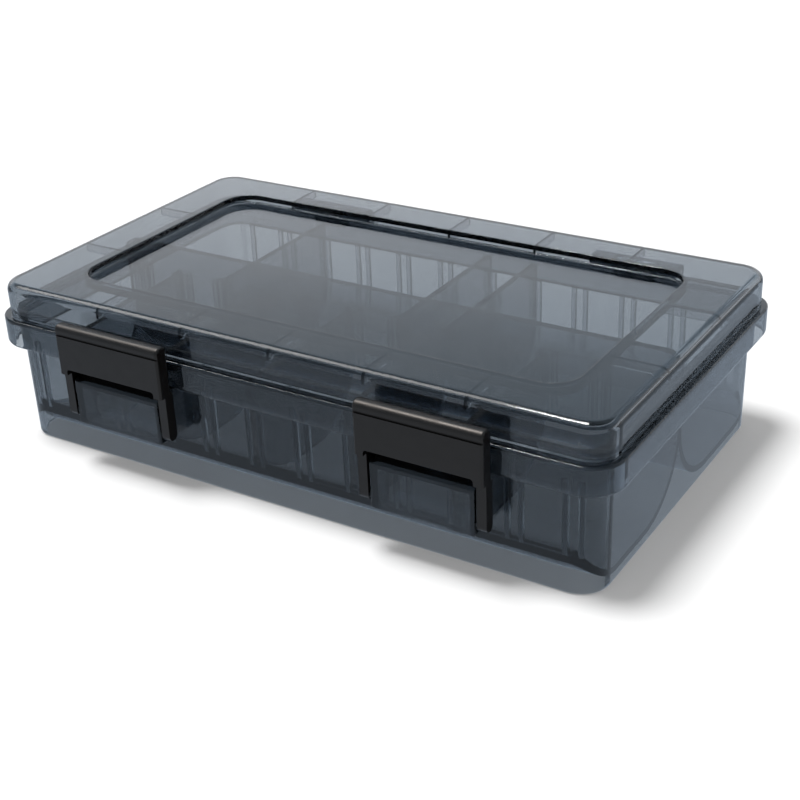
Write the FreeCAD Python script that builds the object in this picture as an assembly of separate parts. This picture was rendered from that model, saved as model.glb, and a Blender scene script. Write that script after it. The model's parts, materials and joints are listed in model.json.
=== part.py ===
"""A hinged tackle box of tinted clear plastic, with two snap latches and lift-out dividers.

Millimetres, +Z up. X runs along the box, the latches are at -Y and the hinges at +Y. The origin is on the
table, under the middle of the whole outline.
"""
import math
import os

import FreeCAD
import Part
from FreeCAD import Vector

# Sizes of the tub, the tray that stands on the table
tub_length = 207.0
tub_depth = 118.2
tub_corner = 9.0
tub_wall = 2.2
tub_draft = 0.2
foot_round = 1.0
parting_height = 42.5

# Sizes of the two round-bottomed troughs and of the partition between them
floor_height = 4.2
floor_skin = 2.0
wall_round = 12.0
foot_flare = 22.0
partition_wall = 2.5
partition_offset = -2.75
partition_clearance = 0.5
crest_round = 3.0

# Sizes of the divider slots, pairs of ribs on every long wall
slot_count = 12
slot_end = 8.35
slot_rib_width = 1.4
slot_rib_stand = 1.3
wall_rib_drop = 7.7
partition_rib_drop = 2.7

# Sizes of the dividers, and the slots that hold one, counted from the left
divider_wall = 2.2
divider_drop = 2.7
divider_clearance = 0.3
front_slots = (1, 3, 5, 7, 9)
rear_slots = (2, 6, 7)

# Sizes of the collar, a turned-down lip round the mouth of the tub
collar_height = 9.9
collar_stand_ends = 2.0
collar_stand_sides = 2.5
lip_wall = 2.2
collar_roof = 1.8
lip_round = 2.0
ledge_round = 0.5
tongue_height = 2.0
tongue_gap = 0.3

# Sizes of the lid, which stands out past the tub, and of the frame round its sunken window
lid_reach_ends = 2.6
lid_reach_sides = 1.15
lid_corner = 8.5
lid_height = 10.9
lid_gap = 0.15
lid_wall = 2.0
lid_round = 2.8
frame_ends = 19.3
frame_sides = 16.6
window_corner = 9.0
window_drop = 2.8
window_wall = 1.2
window_round = 0.4
panel_wall = 1.8
gusset_wall = 1.0
gussets_each_side = 2
gusset_from_end = 22.4
gusset_from_side = 24.2

# Sizes of the catch, the small lip on the lid that each latch snaps over
catch_length = 32.0
catch_stand = 1.6
catch_low = 0.8
catch_thickness = 1.1

# Sizes of the latches
latch_inset = 51.8
latch_width = 40.4
latch_height = 16.4
latch_rise = 5.8
latch_stand = 5.5
latch_depth = 4.6
latch_plate = 2.0
latch_bar = 4.1
bar_round = 1.9
plate_round = 0.8
foot_drop = 2.0
notch_round = 1.0
groove_depth = 0.5
groove_height = 0.9
groove_drop = 2.6
leg_width = 3.0
leg_depth = 3.4
leg_setback = 1.75
pivot_drop = 23.9
hook_length = 30.0
hook_thickness = 1.4
hook_gap = 0.4
hook_clearance = 0.15

# Sizes of the pivot blocks, the hollow bosses on the tub that carry the latches
block_drop = 27.7
block_face_height = 14.5
block_bevel = 3.9
block_clearance = 0.6
block_wall = 2.0
block_round = 0.8
block_edge_round = 0.4
trunnion_radius = 1.4
trunnion_length = 2.3
pivot_clearance = 0.05
trunnion_end_gap = 0.2

# Sizes of the hinges
hinge_inset = 46.1
hinge_width = 30.0
hinge_gap = 0.3
base_knuckle_width = 13.4
pin_radius = 1.0
pin_inset = 0.3
pin_seat_clearance = 0.02
pin_running_clearance = 0.06
hinge_web = 4.2
arm_thickness = 2.3

# Shared lengths for making cuts and joins
overrun = 1.0
embed = 0.5

# Places that follow from the sizes
wall_rib_top = parting_height - wall_rib_drop
partition_rib_top = parting_height - partition_rib_drop
divider_height = parting_height - divider_drop
inner_length = tub_length - 2 * tub_wall
inner_depth = tub_depth - 2 * tub_wall
inner_corner = tub_corner - tub_wall
lid_length = tub_length + 2 * lid_reach_ends
lid_depth = tub_depth + 2 * lid_reach_sides
window_length = lid_length - 2 * frame_ends
window_depth = lid_depth - 2 * frame_sides
gusset_pitch = (window_length - 2 * gusset_from_end) / (2 * gussets_each_side)
gusset_spread = window_depth - 2 * gusset_from_side
latch_spread = lid_length - 2 * latch_inset
hinge_spread = lid_length - 2 * hinge_inset
collar_length = lid_length + 2 * collar_stand_ends
collar_depth = lid_depth + 2 * collar_stand_sides
collar_corner = lid_corner + (collar_stand_ends + collar_stand_sides) / 2
collar_low = parting_height - collar_height
lid_low = parting_height + lid_gap
lid_top = parting_height + lid_height
roof_under = lid_top - lid_wall
panel_top = lid_top - window_drop
panel_under = panel_top - panel_wall
partition_height = panel_under - partition_clearance
front_wall = -inner_depth / 2
rear_wall = inner_depth / 2
partition_front = partition_offset - partition_wall / 2
partition_rear = partition_offset + partition_wall / 2
slot_pitch = (tub_length - 2 * slot_end) / (slot_count - 1)
slot_first = slot_end - tub_length / 2
slot_rib_shift = (divider_wall + slot_rib_width) / 2 + divider_clearance
latch_front = -collar_depth / 2 - latch_stand
latch_back = latch_front + latch_depth
latch_top = parting_height + latch_rise
latch_low = latch_top - latch_height
pivot_height = parting_height - pivot_drop
block_low = parting_height - block_drop
notch_top = latch_low + foot_drop
leg_front = latch_front + leg_setback
leg_back = leg_front + leg_depth
pivot_y = leg_front + leg_depth / 2
leg_inner = latch_width / 2 - leg_width
block_half = leg_inner - block_clearance
knuckle_radius = (latch_stand - hinge_gap) / 2
hinge_y = collar_depth / 2 + hinge_gap + knuckle_radius
catch_front = -lid_depth / 2 - catch_stand
hook_low = parting_height + catch_low + catch_thickness + hook_gap

ALONG_X = Vector(1, 0, 0)
UP = Vector(0, 0, 1)


def box(low, high):
    """A box between two corners."""
    size = high.sub(low)
    return Part.makeBox(size.x, size.y, size.z, low)


def rounded_rectangle(length, depth, radius, level):
    """A closed outline with round corners, centred on the origin."""
    straight_x = length / 2 - radius
    straight_y = depth / 2 - radius
    quarters = ((1, 1), (-1, 1), (-1, -1), (1, -1))
    arcs = []
    for turn, (side_x, side_y) in enumerate(quarters):
        centre = Vector(side_x * straight_x, side_y * straight_y, level)
        arcs.append(Part.makeCircle(radius, centre, UP, 90 * turn, 90 * turn + 90))
    edges = []
    for arc, after in zip(arcs, arcs[1:] + arcs[:1]):
        edges.append(arc)
        edges.append(Part.makeLine(arc.valueAt(arc.LastParameter), after.valueAt(after.FirstParameter)))
    return Part.Wire(edges)


def slab(length, depth, radius, low, high):
    """An upright block with round corners."""
    return Part.Face(rounded_rectangle(length, depth, radius, low)).extrude(UP * (high - low))


def edges_at(shape, level):
    """The edges that lie wholly at one height."""
    near = embed / 100
    return [e for e in shape.Edges if abs(e.BoundBox.ZMin - level) < near and abs(e.BoundBox.ZMax - level) < near]


def edges_along_y(shape, level):
    """The edges at one height that run front to back."""
    return [e for e in edges_at(shape, level) if e.BoundBox.XLength < e.BoundBox.YLength]


def edges_along_x(shape, y, level):
    """The edges at one height and depth that run along the box."""
    near = embed / 100
    return [e for e in edges_at(shape, level) if abs(e.BoundBox.YMin - y) < near and e.BoundBox.YLength < near]


def upright_edges(shape, y):
    """The vertical edges at one depth."""
    near = embed / 100
    return [e for e in shape.Edges if abs(e.BoundBox.YMin - y) < near and e.BoundBox.YLength < near
            and e.BoundBox.XLength < near]


def edges_on_front(shape, y):
    """The edges round a flat front face at one depth."""
    near = embed / 100
    return [e for e in shape.Edges if abs(e.BoundBox.YMin - y) < near and abs(e.BoundBox.YMax - y) < near]


def trough_section(wall, partition, grow, top):
    """The cross-section of one trough, seen along the box, grown outwards by a thickness."""
    side = 1 if partition > wall else -1
    slope = math.sqrt(0.5)
    wall_centre = Vector(0, wall + side * wall_round, floor_height + wall_round)
    foot_centre = Vector(0, partition - side * foot_flare, floor_height + foot_flare)
    wall_arc = wall_round + grow
    foot_arc = foot_flare + grow
    wall_top = Vector(0, wall - side * grow, top)
    wall_end = Vector(0, wall - side * grow, wall_centre.z)
    floor_start = Vector(0, wall_centre.y, floor_height - grow)
    floor_end = Vector(0, foot_centre.y, floor_height - grow)
    foot_end = Vector(0, partition + side * grow, foot_centre.z)
    partition_top = Vector(0, partition + side * grow, top)
    wall_middle = wall_centre + Vector(0, -side * slope * wall_arc, -slope * wall_arc)
    foot_middle = foot_centre + Vector(0, side * slope * foot_arc, -slope * foot_arc)
    edges = [Part.makeLine(wall_top, wall_end),
             Part.Arc(wall_end, wall_middle, floor_start).toShape(),
             Part.makeLine(floor_start, floor_end),
             Part.Arc(floor_end, foot_middle, foot_end).toShape(),
             Part.makeLine(foot_end, partition_top),
             Part.makeLine(partition_top, wall_top)]
    return Part.Face(Part.Wire(edges))


def along_box(face, start, length):
    """A section carried along the box."""
    face.translate(ALONG_X * start)
    return face.extrude(ALONG_X * length)


def tub_outside():
    """The outer form of the tub, a little narrower at the table."""
    bottom = rounded_rectangle(tub_length - 2 * tub_draft, tub_depth - 2 * tub_draft, tub_corner, 0)
    top = rounded_rectangle(tub_length, tub_depth, tub_corner, parting_height)
    form = Part.makeLoft([bottom, top], True, True)
    return form.makeFillet(foot_round, edges_at(form, 0))


def trough_floors(outside):
    """The curved floors and the partition up to the mouth, with a hollow under them."""
    foot_top = floor_height + foot_flare + floor_skin
    floors = []
    for wall, partition in ((front_wall, partition_front), (rear_wall, partition_rear)):
        section = trough_section(wall, partition, floor_skin, foot_top)
        floors.append(along_box(section, -inner_length / 2 - embed, inner_length + 2 * embed))
    partition = box(Vector(-inner_length / 2 - embed, partition_front, floor_height + foot_flare),
                    Vector(inner_length / 2 + embed, partition_rear, parting_height))
    return floors[0].fuse([floors[1], partition]).common(outside)


def partition_crest():
    """The part of the partition above the mouth, which reaches up to just under the lid's window."""
    crest = box(Vector(-inner_length / 2, partition_front, parting_height - embed),
                Vector(inner_length / 2, partition_rear, partition_height))
    return crest.makeFillet(crest_round, edges_along_y(crest, partition_height))


def trough_spaces():
    """The two open spaces that hold the tackle."""
    inside = slab(inner_length, inner_depth, inner_corner, 0, lid_top)
    spaces = []
    for wall, partition in ((front_wall, partition_front), (rear_wall, partition_rear)):
        section = trough_section(wall, partition, 0, lid_top)
        spaces.append(along_box(section, -inner_length / 2 - overrun, inner_length + 2 * overrun).common(inside))
    return spaces


def collar():
    """The turned-down lip round the mouth, and the tongue that the lid drops over."""
    lip = slab(collar_length, collar_depth, collar_corner, collar_low, parting_height)
    lip = lip.makeFillet(lip_round, edges_at(lip, collar_low))
    lip = lip.makeFillet(ledge_round, edges_at(lip, parting_height))
    under = slab(collar_length - 2 * lip_wall, collar_depth - 2 * lip_wall, collar_corner - lip_wall,
                 collar_low - overrun, parting_height - collar_roof)
    tongue_inset = 2 * (lid_wall + tongue_gap)
    tongue = slab(lid_length - tongue_inset, lid_depth - tongue_inset, lid_corner - tongue_inset / 2,
                  parting_height - embed, parting_height + tongue_height)
    inside = slab(inner_length, inner_depth, inner_corner, collar_low - overrun, lid_top)
    return lip.cut(under).fuse(tongue).cut(inside)


def slot_places():
    """The middle of each divider slot along the box."""
    return [slot_first + slot_pitch * slot for slot in range(slot_count)]


def rib_start(radius):
    """The height at which a rib of the slots leaves a rounded wall."""
    flat = radius - slot_rib_stand
    return floor_height + radius - math.sqrt(radius ** 2 - flat ** 2) - floor_skin / 2


def slot_ribs():
    """Pairs of upright ribs on the long walls and on both faces of the partition."""
    faces = ((front_wall, 1, rib_start(wall_round), wall_rib_top),
             (rear_wall, -1, rib_start(wall_round), wall_rib_top),
             (partition_front, -1, rib_start(foot_flare), partition_rib_top),
             (partition_rear, 1, rib_start(foot_flare), partition_rib_top))
    ribs = []
    for place in slot_places():
        for shift in (-slot_rib_shift, slot_rib_shift):
            left = place + shift - slot_rib_width / 2
            for face, side, low, high in faces:
                ends = sorted((face - side * embed, face + side * slot_rib_stand))
                ribs.append(box(Vector(left, ends[0], low), Vector(left + slot_rib_width, ends[1], high)))
    return ribs


def pivot_block(centre):
    """A hollow boss on the front wall, with a trunnion at each side for a latch."""
    wall_face = -tub_depth / 2
    face = leg_front
    block_top = collar_low + embed
    outline = [Vector(0, wall_face + tub_wall / 2, block_low), Vector(0, face, block_low),
               Vector(0, face, block_low + block_face_height), Vector(0, face + block_bevel, block_top),
               Vector(0, wall_face + tub_wall / 2, block_top)]
    section = Part.Face(Part.makePolygon(outline + outline[:1]))
    block = along_box(section, centre - block_half, 2 * block_half)
    block = block.makeFillet(block_round, edges_along_y(block, block_low))
    block = block.makeFillet(block_edge_round, edges_on_front(block, face))
    hollow = box(Vector(centre - block_half + block_wall, face + block_wall, block_low - overrun),
                 Vector(centre + block_half - block_wall, wall_face, block_low + block_face_height - block_wall))
    reach = block_half - embed
    pegs = []
    for side in (-1, 1):
        start = Vector(centre + side * reach, pivot_y, pivot_height)
        pegs.append(Part.makeCylinder(trunnion_radius, trunnion_length + embed, start, ALONG_X * side))
    return block.cut(hollow).fuse(pegs)


def base_knuckle(centre):
    """The middle knuckle of a hinge, on a web that stands on the collar."""
    left = centre - base_knuckle_width / 2
    barrel = Part.makeCylinder(knuckle_radius, base_knuckle_width, Vector(left, hinge_y, parting_height), ALONG_X)
    web = box(Vector(left, collar_depth / 2 - embed, parting_height - hinge_web),
              Vector(left + base_knuckle_width, hinge_y, parting_height - ledge_round))
    bore = Part.makeCylinder(pin_radius + pin_seat_clearance, base_knuckle_width + 2 * overrun,
                             Vector(left - overrun, hinge_y, parting_height), ALONG_X)
    return barrel.fuse(web).cut(bore)


def latch_places():
    """The middle of each latch along the box."""
    return {"left": -latch_spread / 2, "right": latch_spread / 2}


def hinge_places():
    """The middle of each hinge along the box."""
    return {"left": -hinge_spread / 2, "right": hinge_spread / 2}


def base_tub():
    """The tub in one moulding: walls, troughs, collar, slots, pivot blocks and hinge knuckles."""
    outside = tub_outside()
    inside = slab(inner_length, inner_depth, inner_corner, -overrun, lid_top)
    tub = outside.cut(inside).fuse([trough_floors(outside), collar(), partition_crest()])
    tub = tub.cut(trough_spaces())
    additions = slot_ribs()
    additions += [pivot_block(place) for place in latch_places().values()]
    additions += [base_knuckle(place) for place in hinge_places().values()]
    return tub.fuse(additions).removeSplitter()


def lid_gussets():
    """Thin ribs under the frame of the lid, from the window's wall to the lid's own wall."""
    low = panel_under
    high = roof_under + embed
    near_y = window_depth / 2 + window_wall - embed
    far_y = lid_depth / 2 - lid_wall + embed
    near_x = window_length / 2 + window_wall - embed
    far_x = lid_length / 2 - lid_wall + embed
    gussets = []
    for step in range(-gussets_each_side, gussets_each_side + 1):
        left = step * gusset_pitch - gusset_wall / 2
        for ends in ((near_y, far_y), (-far_y, -near_y)):
            gussets.append(box(Vector(left, ends[0], low), Vector(left + gusset_wall, ends[1], high)))
    for place in (-gusset_spread / 2, gusset_spread / 2):
        for ends in ((near_x, far_x), (-far_x, -near_x)):
            gussets.append(box(Vector(ends[0], place - gusset_wall / 2, low),
                               Vector(ends[1], place + gusset_wall / 2, high)))
    return gussets


def catch(centre):
    """The lip on the lid's front that a latch snaps over."""
    low = parting_height + catch_low
    return box(Vector(centre - catch_length / 2, catch_front, low),
               Vector(centre + catch_length / 2, -lid_depth / 2 + embed, low + catch_thickness))


def lid_knuckles(centre):
    """The two outer knuckles of a hinge, on arms that reach over the collar."""
    width = (hinge_width - base_knuckle_width) / 2 - hinge_gap
    knuckles = []
    for left in (centre - hinge_width / 2, centre + hinge_width / 2 - width):
        barrel = Part.makeCylinder(knuckle_radius, width, Vector(left, hinge_y, parting_height), ALONG_X)
        arm = box(Vector(left, lid_depth / 2 - embed, parting_height + hinge_gap),
                  Vector(left + width, hinge_y, parting_height + hinge_gap + arm_thickness))
        bore = Part.makeCylinder(pin_radius + pin_running_clearance, width + 2 * overrun,
                                 Vector(left - overrun, hinge_y, parting_height), ALONG_X)
        knuckles.append(barrel.fuse(arm).cut(bore))
    return knuckles


def lid_shell():
    """The lid in one moulding, with its sunken window, gussets, catches and hinge arms."""
    outer = slab(lid_length, lid_depth, lid_corner, lid_low, lid_top)
    outer = outer.makeFillet(lid_round, edges_at(outer, lid_top))
    inner = slab(lid_length - 2 * lid_wall, lid_depth - 2 * lid_wall, lid_corner - lid_wall,
                 parting_height - overrun, roof_under)
    inner = inner.makeFillet(lid_round - lid_wall, edges_at(inner, roof_under))
    tray = slab(window_length + 2 * window_wall, window_depth + 2 * window_wall, window_corner + window_wall,
                panel_under, roof_under + embed)
    window = slab(window_length, window_depth, window_corner, panel_top, lid_top + overrun)
    window = window.makeFillet(window_round, edges_at(window, panel_top))
    shell = outer.cut(inner).fuse([tray] + lid_gussets()).cut(window).removeSplitter()
    rim = [e for e in edges_at(shell, lid_top) if e.BoundBox.XMax <= window_length / 2 + embed
           and e.BoundBox.XMin >= -window_length / 2 - embed and abs(e.BoundBox.YMax) <= window_depth / 2 + embed]
    shell = shell.makeFillet(window_round, rim)
    additions = [catch(place) for place in latch_places().values()]
    for place in hinge_places().values():
        additions += lid_knuckles(place)
    return shell.fuse(additions).removeSplitter()


def latch(centre):
    """A snap latch: a grip bar over a plate, with two legs that turn on the trunnions."""
    left = centre - latch_width / 2
    right = centre + latch_width / 2
    body = box(Vector(left, latch_front, latch_low), Vector(right, latch_back, latch_top))
    body = body.makeFillet(bar_round, edges_along_x(body, latch_front, latch_top)
                           + edges_along_x(body, latch_back, latch_top))
    body = body.makeFillet(plate_round, upright_edges(body, latch_front))
    hollow = box(Vector(centre - leg_inner, latch_front + latch_plate, latch_low - overrun),
                 Vector(centre + leg_inner, latch_back + overrun, latch_top - latch_bar))
    notch = box(Vector(centre - leg_inner, latch_front - overrun, latch_low - overrun),
                Vector(centre + leg_inner, latch_back + overrun, notch_top))
    notch = notch.makeFillet(notch_round, edges_along_y(notch, notch_top))
    groove_top = latch_top - groove_drop
    groove = box(Vector(left - overrun, latch_front - overrun, groove_top - groove_height),
                 Vector(right + overrun, latch_front + groove_depth, groove_top))
    legs = []
    sockets = []
    for side in (-1, 1):
        ends = sorted((centre + side * leg_inner, centre + side * (leg_inner + leg_width)))
        legs.append(box(Vector(ends[0], leg_front, pivot_height), Vector(ends[1], leg_back, latch_low + embed)))
        legs.append(Part.makeCylinder(leg_depth / 2, leg_width, Vector(ends[0], pivot_y, pivot_height), ALONG_X))
        socket_depth = trunnion_length + trunnion_end_gap - block_clearance
        start = Vector(centre + side * (leg_inner - overrun), pivot_y, pivot_height)
        sockets.append(Part.makeCylinder(trunnion_radius + pivot_clearance, socket_depth + overrun, start,
                                         ALONG_X * side))
    hook = box(Vector(centre - hook_length / 2, latch_back - embed, hook_low),
               Vector(centre + hook_length / 2, catch_front - hook_clearance, hook_low + hook_thickness))
    return body.cut([hollow, notch, groove]).fuse(legs + [hook]).cut(sockets).removeSplitter()


def hinge_pin(centre):
    """The steel wire that holds a hinge together."""
    length = hinge_width - 2 * pin_inset
    return Part.makeCylinder(pin_radius, length, Vector(centre - length / 2, hinge_y, parting_height), ALONG_X)


def divider(wall, partition, place):
    """A lift-out plate with the trough's own outline, less a clearance."""
    section = trough_section(wall, partition, -divider_clearance, divider_height)
    return along_box(section, place - divider_wall / 2, divider_wall)


def save(node, shape):
    """One STEP file for each piece."""
    if len(shape.Solids) == 1:
        shape = shape.Solids[0]
    print(node, "solids", len(shape.Solids), "volume", round(shape.Volume, 1), "valid", shape.isValid())
    shape.exportStep(os.path.join("parts", node + ".step"))


os.makedirs("parts", exist_ok=True)
save("base_tub", base_tub())
save("lid_shell", lid_shell())
for name, place in latch_places().items():
    save("latch_" + name, latch(place))
for name, place in hinge_places().items():
    save("hinge_pin_" + name, hinge_pin(place))
for row, slots, wall, partition in (("front", front_slots, front_wall, partition_front),
                                    ("rear", rear_slots, rear_wall, partition_rear)):
    for count, slot in enumerate(slots, 1):
        save("divider_%s_%d" % (row, count), divider(wall, partition, slot_places()[slot]))
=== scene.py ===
# %% [markdown]
# # A tackle box of smoke-tinted clear plastic
#
# The construction is already made and comes in as a fixed frame: a tub, a lid, two latches, two hinge pins
# and eight dividers, each as a closed solid at its real size. This notebook gives them their finish, sets
# up a small white studio and places the camera where the photographer stood.
#
# Clear plastic is mostly made by what stands round it and behind it. The walls are closed and one to two
# and a half millimetres thick, so light can bend at each face and be swallowed on the way through. Their
# thickness is a guess, and the tint is fitted to it.

# %% Load the frame
import json
import math

import bpy
from mathutils import Matrix, Vector

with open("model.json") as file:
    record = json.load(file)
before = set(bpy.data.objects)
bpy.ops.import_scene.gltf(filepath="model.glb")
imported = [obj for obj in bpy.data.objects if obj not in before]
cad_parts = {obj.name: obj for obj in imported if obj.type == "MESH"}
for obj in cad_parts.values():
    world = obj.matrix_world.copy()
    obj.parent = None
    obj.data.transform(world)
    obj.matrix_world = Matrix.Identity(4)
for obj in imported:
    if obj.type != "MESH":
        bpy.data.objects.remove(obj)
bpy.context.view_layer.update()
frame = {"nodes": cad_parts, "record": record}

nodes = frame["nodes"]
print("pieces in the frame:", len(nodes))

# %% [markdown]
# ## The camera
#
# The angle was found by fitting a camera to the edges of the lid and the tub in the photograph. It is
# written as a person would set up a tripod: where it points, how far round and how high it stands, how far
# away, and a small lean. The frame is square, so the lens is given for a sensor that is as wide as it is
# high.

# %% Camera
camera_target = Vector((0.01586, -0.0151083, 0.0198))
camera_round = math.radians(32.69)
camera_height = math.radians(27.248)
camera_lean = math.radians(-2.405)
camera_distance = 0.45534
camera_lens = 65.854
camera_sensor = 36.0


def tripod_view(target, turn, height, lean, distance):
    """Where a camera stands and how it is turned, from the angles a photographer would give."""
    back = Vector((math.sin(turn) * math.cos(height), -math.cos(turn) * math.cos(height), math.sin(height)))
    right = Vector((math.cos(turn), math.sin(turn), 0.0))
    upward = back.cross(right)
    across = math.cos(lean) * right + math.sin(lean) * upward
    along = math.cos(lean) * upward - math.sin(lean) * right
    turned = Matrix((across, along, back)).transposed().to_4x4()
    return Matrix.Translation(target + back * distance) @ turned


camera_data = bpy.data.cameras.new("camera")
camera_data.sensor_width = camera_sensor
camera_data.lens = camera_lens
camera = bpy.data.objects.new("camera", camera_data)
camera.matrix_world = tripod_view(camera_target, camera_round, camera_height, camera_lean, camera_distance)
bpy.context.collection.objects.link(camera)
bpy.context.scene.camera = camera
print("camera stands at, mm:", [round(1000 * value) for value in camera.matrix_world.translation])

# %% [markdown]
# ## The white studio
#
# The box stands on a white sweep. Clear plastic shows its surroundings twice, through its walls and in its
# reflections, and the two differ in a studio: behind and beside the box all is lit white paper, while the
# room in front of it, which the front faces mirror, is a dim blue-grey. So the world and the floor are
# plain white for the camera and for rays that passed through the plastic. For mirrored rays the world is a
# lit backdrop at the back with a dimmer room above it, and a long strip light overhead on the left, which
# draws the bright line along the rounded front edges. For ordinary diffuse light the world is dimmer too,
# so that the lamp can still throw a soft shadow on the floor.

# %% World and colour management
scene = bpy.context.scene
scene.view_settings.view_transform = "Standard"
ambient_level = 0.35
white = (1.0, 1.0, 1.0, 1.0)
black = (0.0, 0.0, 0.0, 1.0)
backdrop_lit = (1.22, 1.25, 1.30, 1.0)
room_dim = (0.28, 0.36, 0.45, 1.0)
room_above = (0.54, 0.68, 0.82, 1.0)
strip_lit = (5.4, 5.5, 5.6, 1.0)

# Where each part of the mirrored room starts and is fully there, along a direction of length 1
front_to_back = (-0.1, 0.4)
backdrop_top = (0.30, 0.50)
strip_sides = (0.32, 0.16)
strip_right_end = (-0.10, -0.25)
strip_height = (0.60, 0.75)


def maths(tree, operation, *values):
    """A Math node whose inputs are sockets or plain numbers."""
    node = tree.nodes.new("ShaderNodeMath")
    node.operation = operation
    for socket, value in zip(node.inputs, values):
        if isinstance(value, (int, float)):
            socket.default_value = value
        else:
            tree.links.new(value, socket)
    return node.outputs[0]


def mixed_colour(tree, share, first, second):
    """A colour between two, where each is a socket or a plain colour."""
    node = tree.nodes.new("ShaderNodeMix")
    node.data_type = "RGBA"
    tree.links.new(share, node.inputs["Factor"])
    for socket, value in ((node.inputs[6], first), (node.inputs[7], second)):
        if isinstance(value, tuple):
            socket.default_value = value
        else:
            tree.links.new(value, socket)
    return node.outputs[2]


def smooth_step(tree, value, start, end):
    """A mask that runs softly from 0 to 1 while a value goes from a start to an end."""
    node = tree.nodes.new("ShaderNodeMapRange")
    node.interpolation_type = "SMOOTHSTEP"
    node.inputs["From Min"].default_value = start
    node.inputs["From Max"].default_value = end
    tree.links.new(value, node.inputs["Value"])
    return node.outputs["Result"]


def new_material(name):
    """A new material, with its node tree and its shader."""
    material = bpy.data.materials.new(name)
    material.use_nodes = True
    return material, material.node_tree, material.node_tree.nodes["Principled BSDF"]


def ray_masks(tree):
    """Masks for rays from the camera, rays that passed through plastic, and mirrored rays."""
    path = tree.nodes.new("ShaderNodeLightPath")
    mirrored = maths(tree, "MULTIPLY", path.outputs["Is Reflection Ray"], path.outputs["Is Glossy Ray"])
    return path.outputs["Is Camera Ray"], path.outputs["Is Transmission Ray"], mirrored


world = bpy.data.worlds.new("white_studio")
world.use_nodes = True
scene.world = world
tree = world.node_tree
background = tree.nodes["Background"]
direct, through, mirrored = ray_masks(tree)
place = tree.nodes.new("ShaderNodeTexCoord")
direction = tree.nodes.new("ShaderNodeSeparateXYZ")
tree.links.new(place.outputs["Generated"], direction.inputs["Vector"])
behind = smooth_step(tree, direction.outputs["Y"], *front_to_back)
above_backdrop = smooth_step(tree, direction.outputs["Z"], *backdrop_top)
lit_side = mixed_colour(tree, above_backdrop, backdrop_lit, room_above)
room = mixed_colour(tree, behind, room_dim, lit_side)
off_middle = maths(tree, "ABSOLUTE", direction.outputs["Y"])
near_middle = smooth_step(tree, off_middle, *strip_sides)
on_left = smooth_step(tree, direction.outputs["X"], *strip_right_end)
overhead = smooth_step(tree, direction.outputs["Z"], *strip_height)
in_strip = maths(tree, "MULTIPLY", maths(tree, "MULTIPLY", near_middle, on_left), overhead)
room = mixed_colour(tree, in_strip, room, strip_lit)
tree.links.new(mixed_colour(tree, mirrored, white, room), background.inputs["Color"])
seen = maths(tree, "MAXIMUM", maths(tree, "MAXIMUM", direct, through), mirrored)
level = maths(tree, "MULTIPLY_ADD", seen, 1.0 - ambient_level, ambient_level)
tree.links.new(level, background.inputs["Strength"])
print("ambient level for diffuse light:", ambient_level)

# %% [markdown]
# ## The floor
#
# The sweep is a plain disc. Its own white is a little under full, and a small glow lifts what the camera
# sees to pure white wherever the lamp reaches. In the shadow of the box the lamp's share is missing, so
# the shadow stays. Real lamp light also falls through clear plastic and brightens the paper under it,
# which a shadow in Cycles leaves out, so the paper glows more for rays that come through the plastic.

# %% Floor
import bmesh

floor_reach = 3.0
floor_segments = 64
floor_white = (0.8, 0.8, 0.8, 1.0)
floor_mirrored = (0.49, 0.57, 0.67, 1.0)
floor_glow = 0.17
floor_glow_through = 0.22


def floor_material():
    """White paper that looks pure white where the lamp reaches it."""
    material, tree, shader = new_material("white_sweep")
    shader.inputs["Roughness"].default_value = 1.0
    shader.inputs["Specular IOR Level"].default_value = 0.0
    direct, through, mirrored = ray_masks(tree)
    tree.links.new(mixed_colour(tree, mirrored, floor_white, black), shader.inputs["Base Color"])
    tree.links.new(mixed_colour(tree, mirrored, white, floor_mirrored), shader.inputs["Emission Color"])
    glow = maths(tree, "MULTIPLY", through, floor_glow_through)
    glow = maths(tree, "ADD", glow, maths(tree, "MULTIPLY", direct, floor_glow))
    tree.links.new(maths(tree, "ADD", glow, mirrored), shader.inputs["Emission Strength"])
    return material


def mesh_object(name, mesh_maker, material):
    """A new object at the origin, from a function that fills a bmesh."""
    mesh = bpy.data.meshes.new(name)
    form = bmesh.new()
    mesh_maker(form)
    form.to_mesh(mesh)
    form.free()
    mesh.materials.append(material)
    made = bpy.data.objects.new(name, mesh)
    bpy.context.collection.objects.link(made)
    return made


def floor_disc(form):
    """A flat disc on the table plane."""
    bmesh.ops.create_circle(form, cap_ends=True, segments=floor_segments, radius=floor_reach)


floor = mesh_object("floor", floor_disc, floor_material())
print("floor reaches, m:", floor_reach)

# %% [markdown]
# ## The lamp
#
# One broad soft lamp hangs high on the left, so that the shadow hugs the box and shows along its right
# end. Outer faces mirror it as small bright spots. Rays that passed through the plastic don't see it,
# because for them it leaves a stray bright dot in the picture.

# %% Lamp
lamp_strength = 2.8
lamp_spread = math.radians(20)
lamp_from = Vector((-0.26, -0.07, 1.0))

lamp_data = bpy.data.lights.new("high_lamp", "SUN")
lamp_data.energy = lamp_strength
lamp_data.angle = lamp_spread
lamp = bpy.data.objects.new("high_lamp", lamp_data)
lamp.rotation_euler = lamp_from.to_track_quat("Z", "Y").to_euler()
lamp.visible_transmission = False
bpy.context.collection.objects.link(lamp)
print("lamp height above the horizon, degrees:",
      round(math.degrees(math.asin(lamp_from.normalized().z))))

# %% [markdown]
# ## Smoke-tinted plastic
#
# The tint lies in the plastic, not on it: a thick stretch is darker than a thin one, and a look through
# several walls goes navy. So the surface is clear, with the bending of light of a styrene moulding, and
# the tint is volume absorption with one plain colour and density. Moulded faces are never quite flat, and
# a slow waviness makes the reflections run a little uneven.

# %% Waviness of moulded faces
wave_detail = 1.0
mark_detail = 4.0
marks_start = 0.35
marks_full = 0.75


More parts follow.
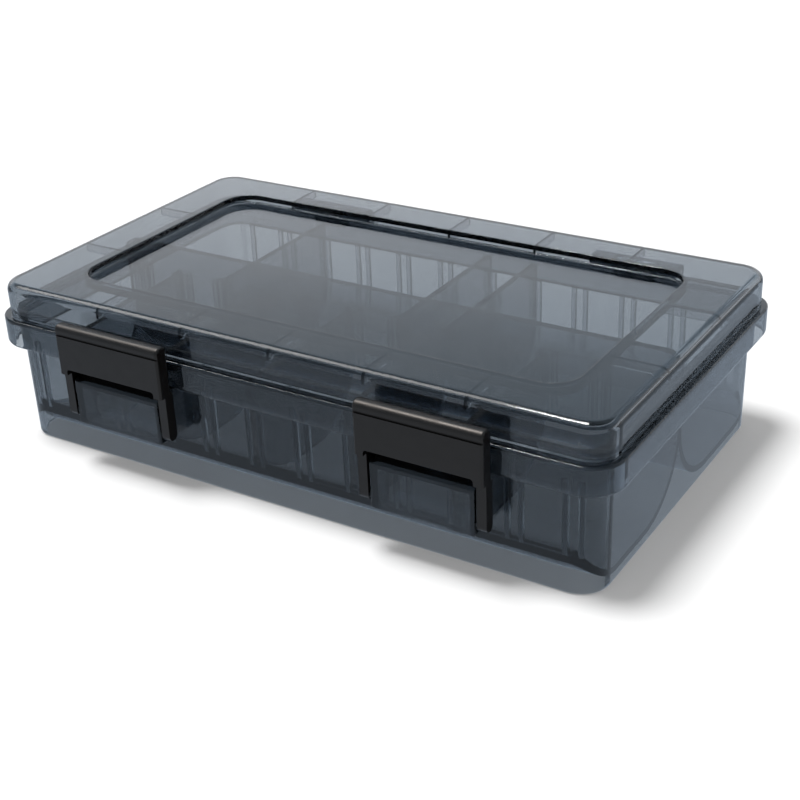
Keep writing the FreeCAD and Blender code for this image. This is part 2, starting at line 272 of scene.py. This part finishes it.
def moulded_surface_group():
    """A node group with the slow waviness and the fine rubbed marks of a moulded face."""
    group = bpy.data.node_groups.new("moulded_surface", "ShaderNodeTree")
    for way, titles in (("INPUT", ("Wave Size", "Mark Size", "Smooth", "Rubbed")),
                        ("OUTPUT", ("Height", "Roughness"))):
        for title in titles:
            group.interface.new_socket(title, in_out=way, socket_type="NodeSocketFloat")
    add = group.nodes.new
    link = group.links.new
    inputs = add("NodeGroupInput")
    outputs = add("NodeGroupOutput")
    place = add("ShaderNodeTexCoord")
    wave = add("ShaderNodeTexNoise")
    wave.inputs["Detail"].default_value = wave_detail
    link(place.outputs["Object"], wave.inputs["Vector"])
    link(inputs.outputs["Wave Size"], wave.inputs["Scale"])
    link(wave.outputs["Fac"], outputs.inputs["Height"])
    marks = add("ShaderNodeTexNoise")
    marks.inputs["Detail"].default_value = mark_detail
    link(place.outputs["Object"], marks.inputs["Vector"])
    link(inputs.outputs["Mark Size"], marks.inputs["Scale"])
    spread = add("ShaderNodeMapRange")
    spread.inputs["From Min"].default_value = marks_start
    spread.inputs["From Max"].default_value = marks_full
    link(marks.outputs["Fac"], spread.inputs["Value"])
    link(inputs.outputs["Smooth"], spread.inputs["To Min"])
    link(inputs.outputs["Rubbed"], spread.inputs["To Max"])
    link(spread.outputs["Result"], outputs.inputs["Roughness"])
    return group


moulded_surface = moulded_surface_group()
print("group sockets:", [item.name for item in moulded_surface.interface.items_tree])

# %% Smoke plastic
tub_density = 475.0
lid_density = 400.0
smoke_colour = (0.0, 0.088, 0.17, 1.0)
plastic_bend = 1.5
probe_thickness = 0.002


def use_moulded_surface(tree, shader, wave, mark, smooth, rubbed, height):
    """Places the moulded surface group and feeds its roughness and its bump to the shader."""
    surface = tree.nodes.new("ShaderNodeGroup")
    surface.node_tree = moulded_surface
    surface.inputs["Wave Size"].default_value = wave
    surface.inputs["Mark Size"].default_value = mark
    surface.inputs["Smooth"].default_value = smooth
    surface.inputs["Rubbed"].default_value = rubbed
    tree.links.new(surface.outputs["Roughness"], shader.inputs["Roughness"])
    bump = tree.nodes.new("ShaderNodeBump")
    bump.inputs["Strength"].default_value = 1.0
    bump.inputs["Distance"].default_value = height
    tree.links.new(surface.outputs["Height"], bump.inputs["Height"])
    tree.links.new(bump.outputs["Normal"], shader.inputs["Normal"])


def smoke_plastic(name, density):
    """Clear plastic with the tint inside it."""
    material, tree, shader = new_material(name)
    shader.inputs["Base Color"].default_value = white
    shader.inputs["IOR"].default_value = plastic_bend
    shader.inputs["Transmission Weight"].default_value = 1.0
    use_moulded_surface(tree, shader, wave=45.0, mark=160.0, smooth=0.015, rubbed=0.05, height=0.00006)
    tint = tree.nodes.new("ShaderNodeVolumeAbsorption")
    tint.inputs["Color"].default_value = smoke_colour
    tint.inputs["Density"].default_value = density
    output = tree.nodes["Material Output"]
    tree.links.new(tint.outputs["Volume"], output.inputs["Volume"])
    return material


smoke_tub = smoke_plastic("smoke_clear_tub", tub_density)
smoke_lid = smoke_plastic("smoke_clear_lid", lid_density)
for density in (tub_density, lid_density):
    print("share of light through 2 mm:",
          [round(math.exp(-probe_thickness * density * (1 - part)), 2) for part in smoke_colour[:3]])

# %% [markdown]
# ## Black latches and steel pins
#
# The latches are a tougher black plastic with a satin face. The pins are drawn wire.

# %% Black plastic and steel
black_moulding = (0.004, 0.003, 0.0025, 1.0)
warm_sheen = (1.0, 0.9, 0.82, 1.0)
steel_colour = (0.55, 0.55, 0.56, 1.0)


def black_plastic():
    """Satin black moulding."""
    material, tree, shader = new_material("satin_black_plastic")
    shader.inputs["Base Color"].default_value = black_moulding
    shader.inputs["IOR"].default_value = plastic_bend
    shader.inputs["Specular Tint"].default_value = warm_sheen
    use_moulded_surface(tree, shader, wave=1800.0, mark=220.0, smooth=0.34, rubbed=0.48, height=0.00002)
    return material


def pin_steel():
    """Drawn steel wire with a fine uneven roughness and a slight bump."""
    material, tree, shader = new_material("drawn_steel")
    shader.inputs["Base Color"].default_value = steel_colour
    shader.inputs["Metallic"].default_value = 1.0
    use_moulded_surface(tree, shader, wave=900.0, mark=700.0, smooth=0.22, rubbed=0.4, height=0.00001)
    return material


finishes = {"smoke_plastic": smoke_tub, "black_plastic": black_plastic(), "pin_steel": pin_steel()}
for part in frame["record"]["subparts"]:
    nodes[part["node"]].material_slots[0].material = finishes[part["material_slot"]]
nodes["lid_shell"].material_slots[0].material = smoke_lid

# %% [markdown]
# ## Light paths
#
# A look through the lid and the tub crosses a dozen faces, so a path may bend and mirror often before it
# ends.

# %% Bounces
bounces_in_all = 32
bounces_mirrored = 12
bounces_transparent = 16

scene.cycles.max_bounces = bounces_in_all
scene.cycles.transmission_bounces = bounces_in_all
scene.cycles.glossy_bounces = bounces_mirrored
scene.cycles.transparent_max_bounces = bounces_transparent
print("bounces allowed:", scene.cycles.max_bounces)
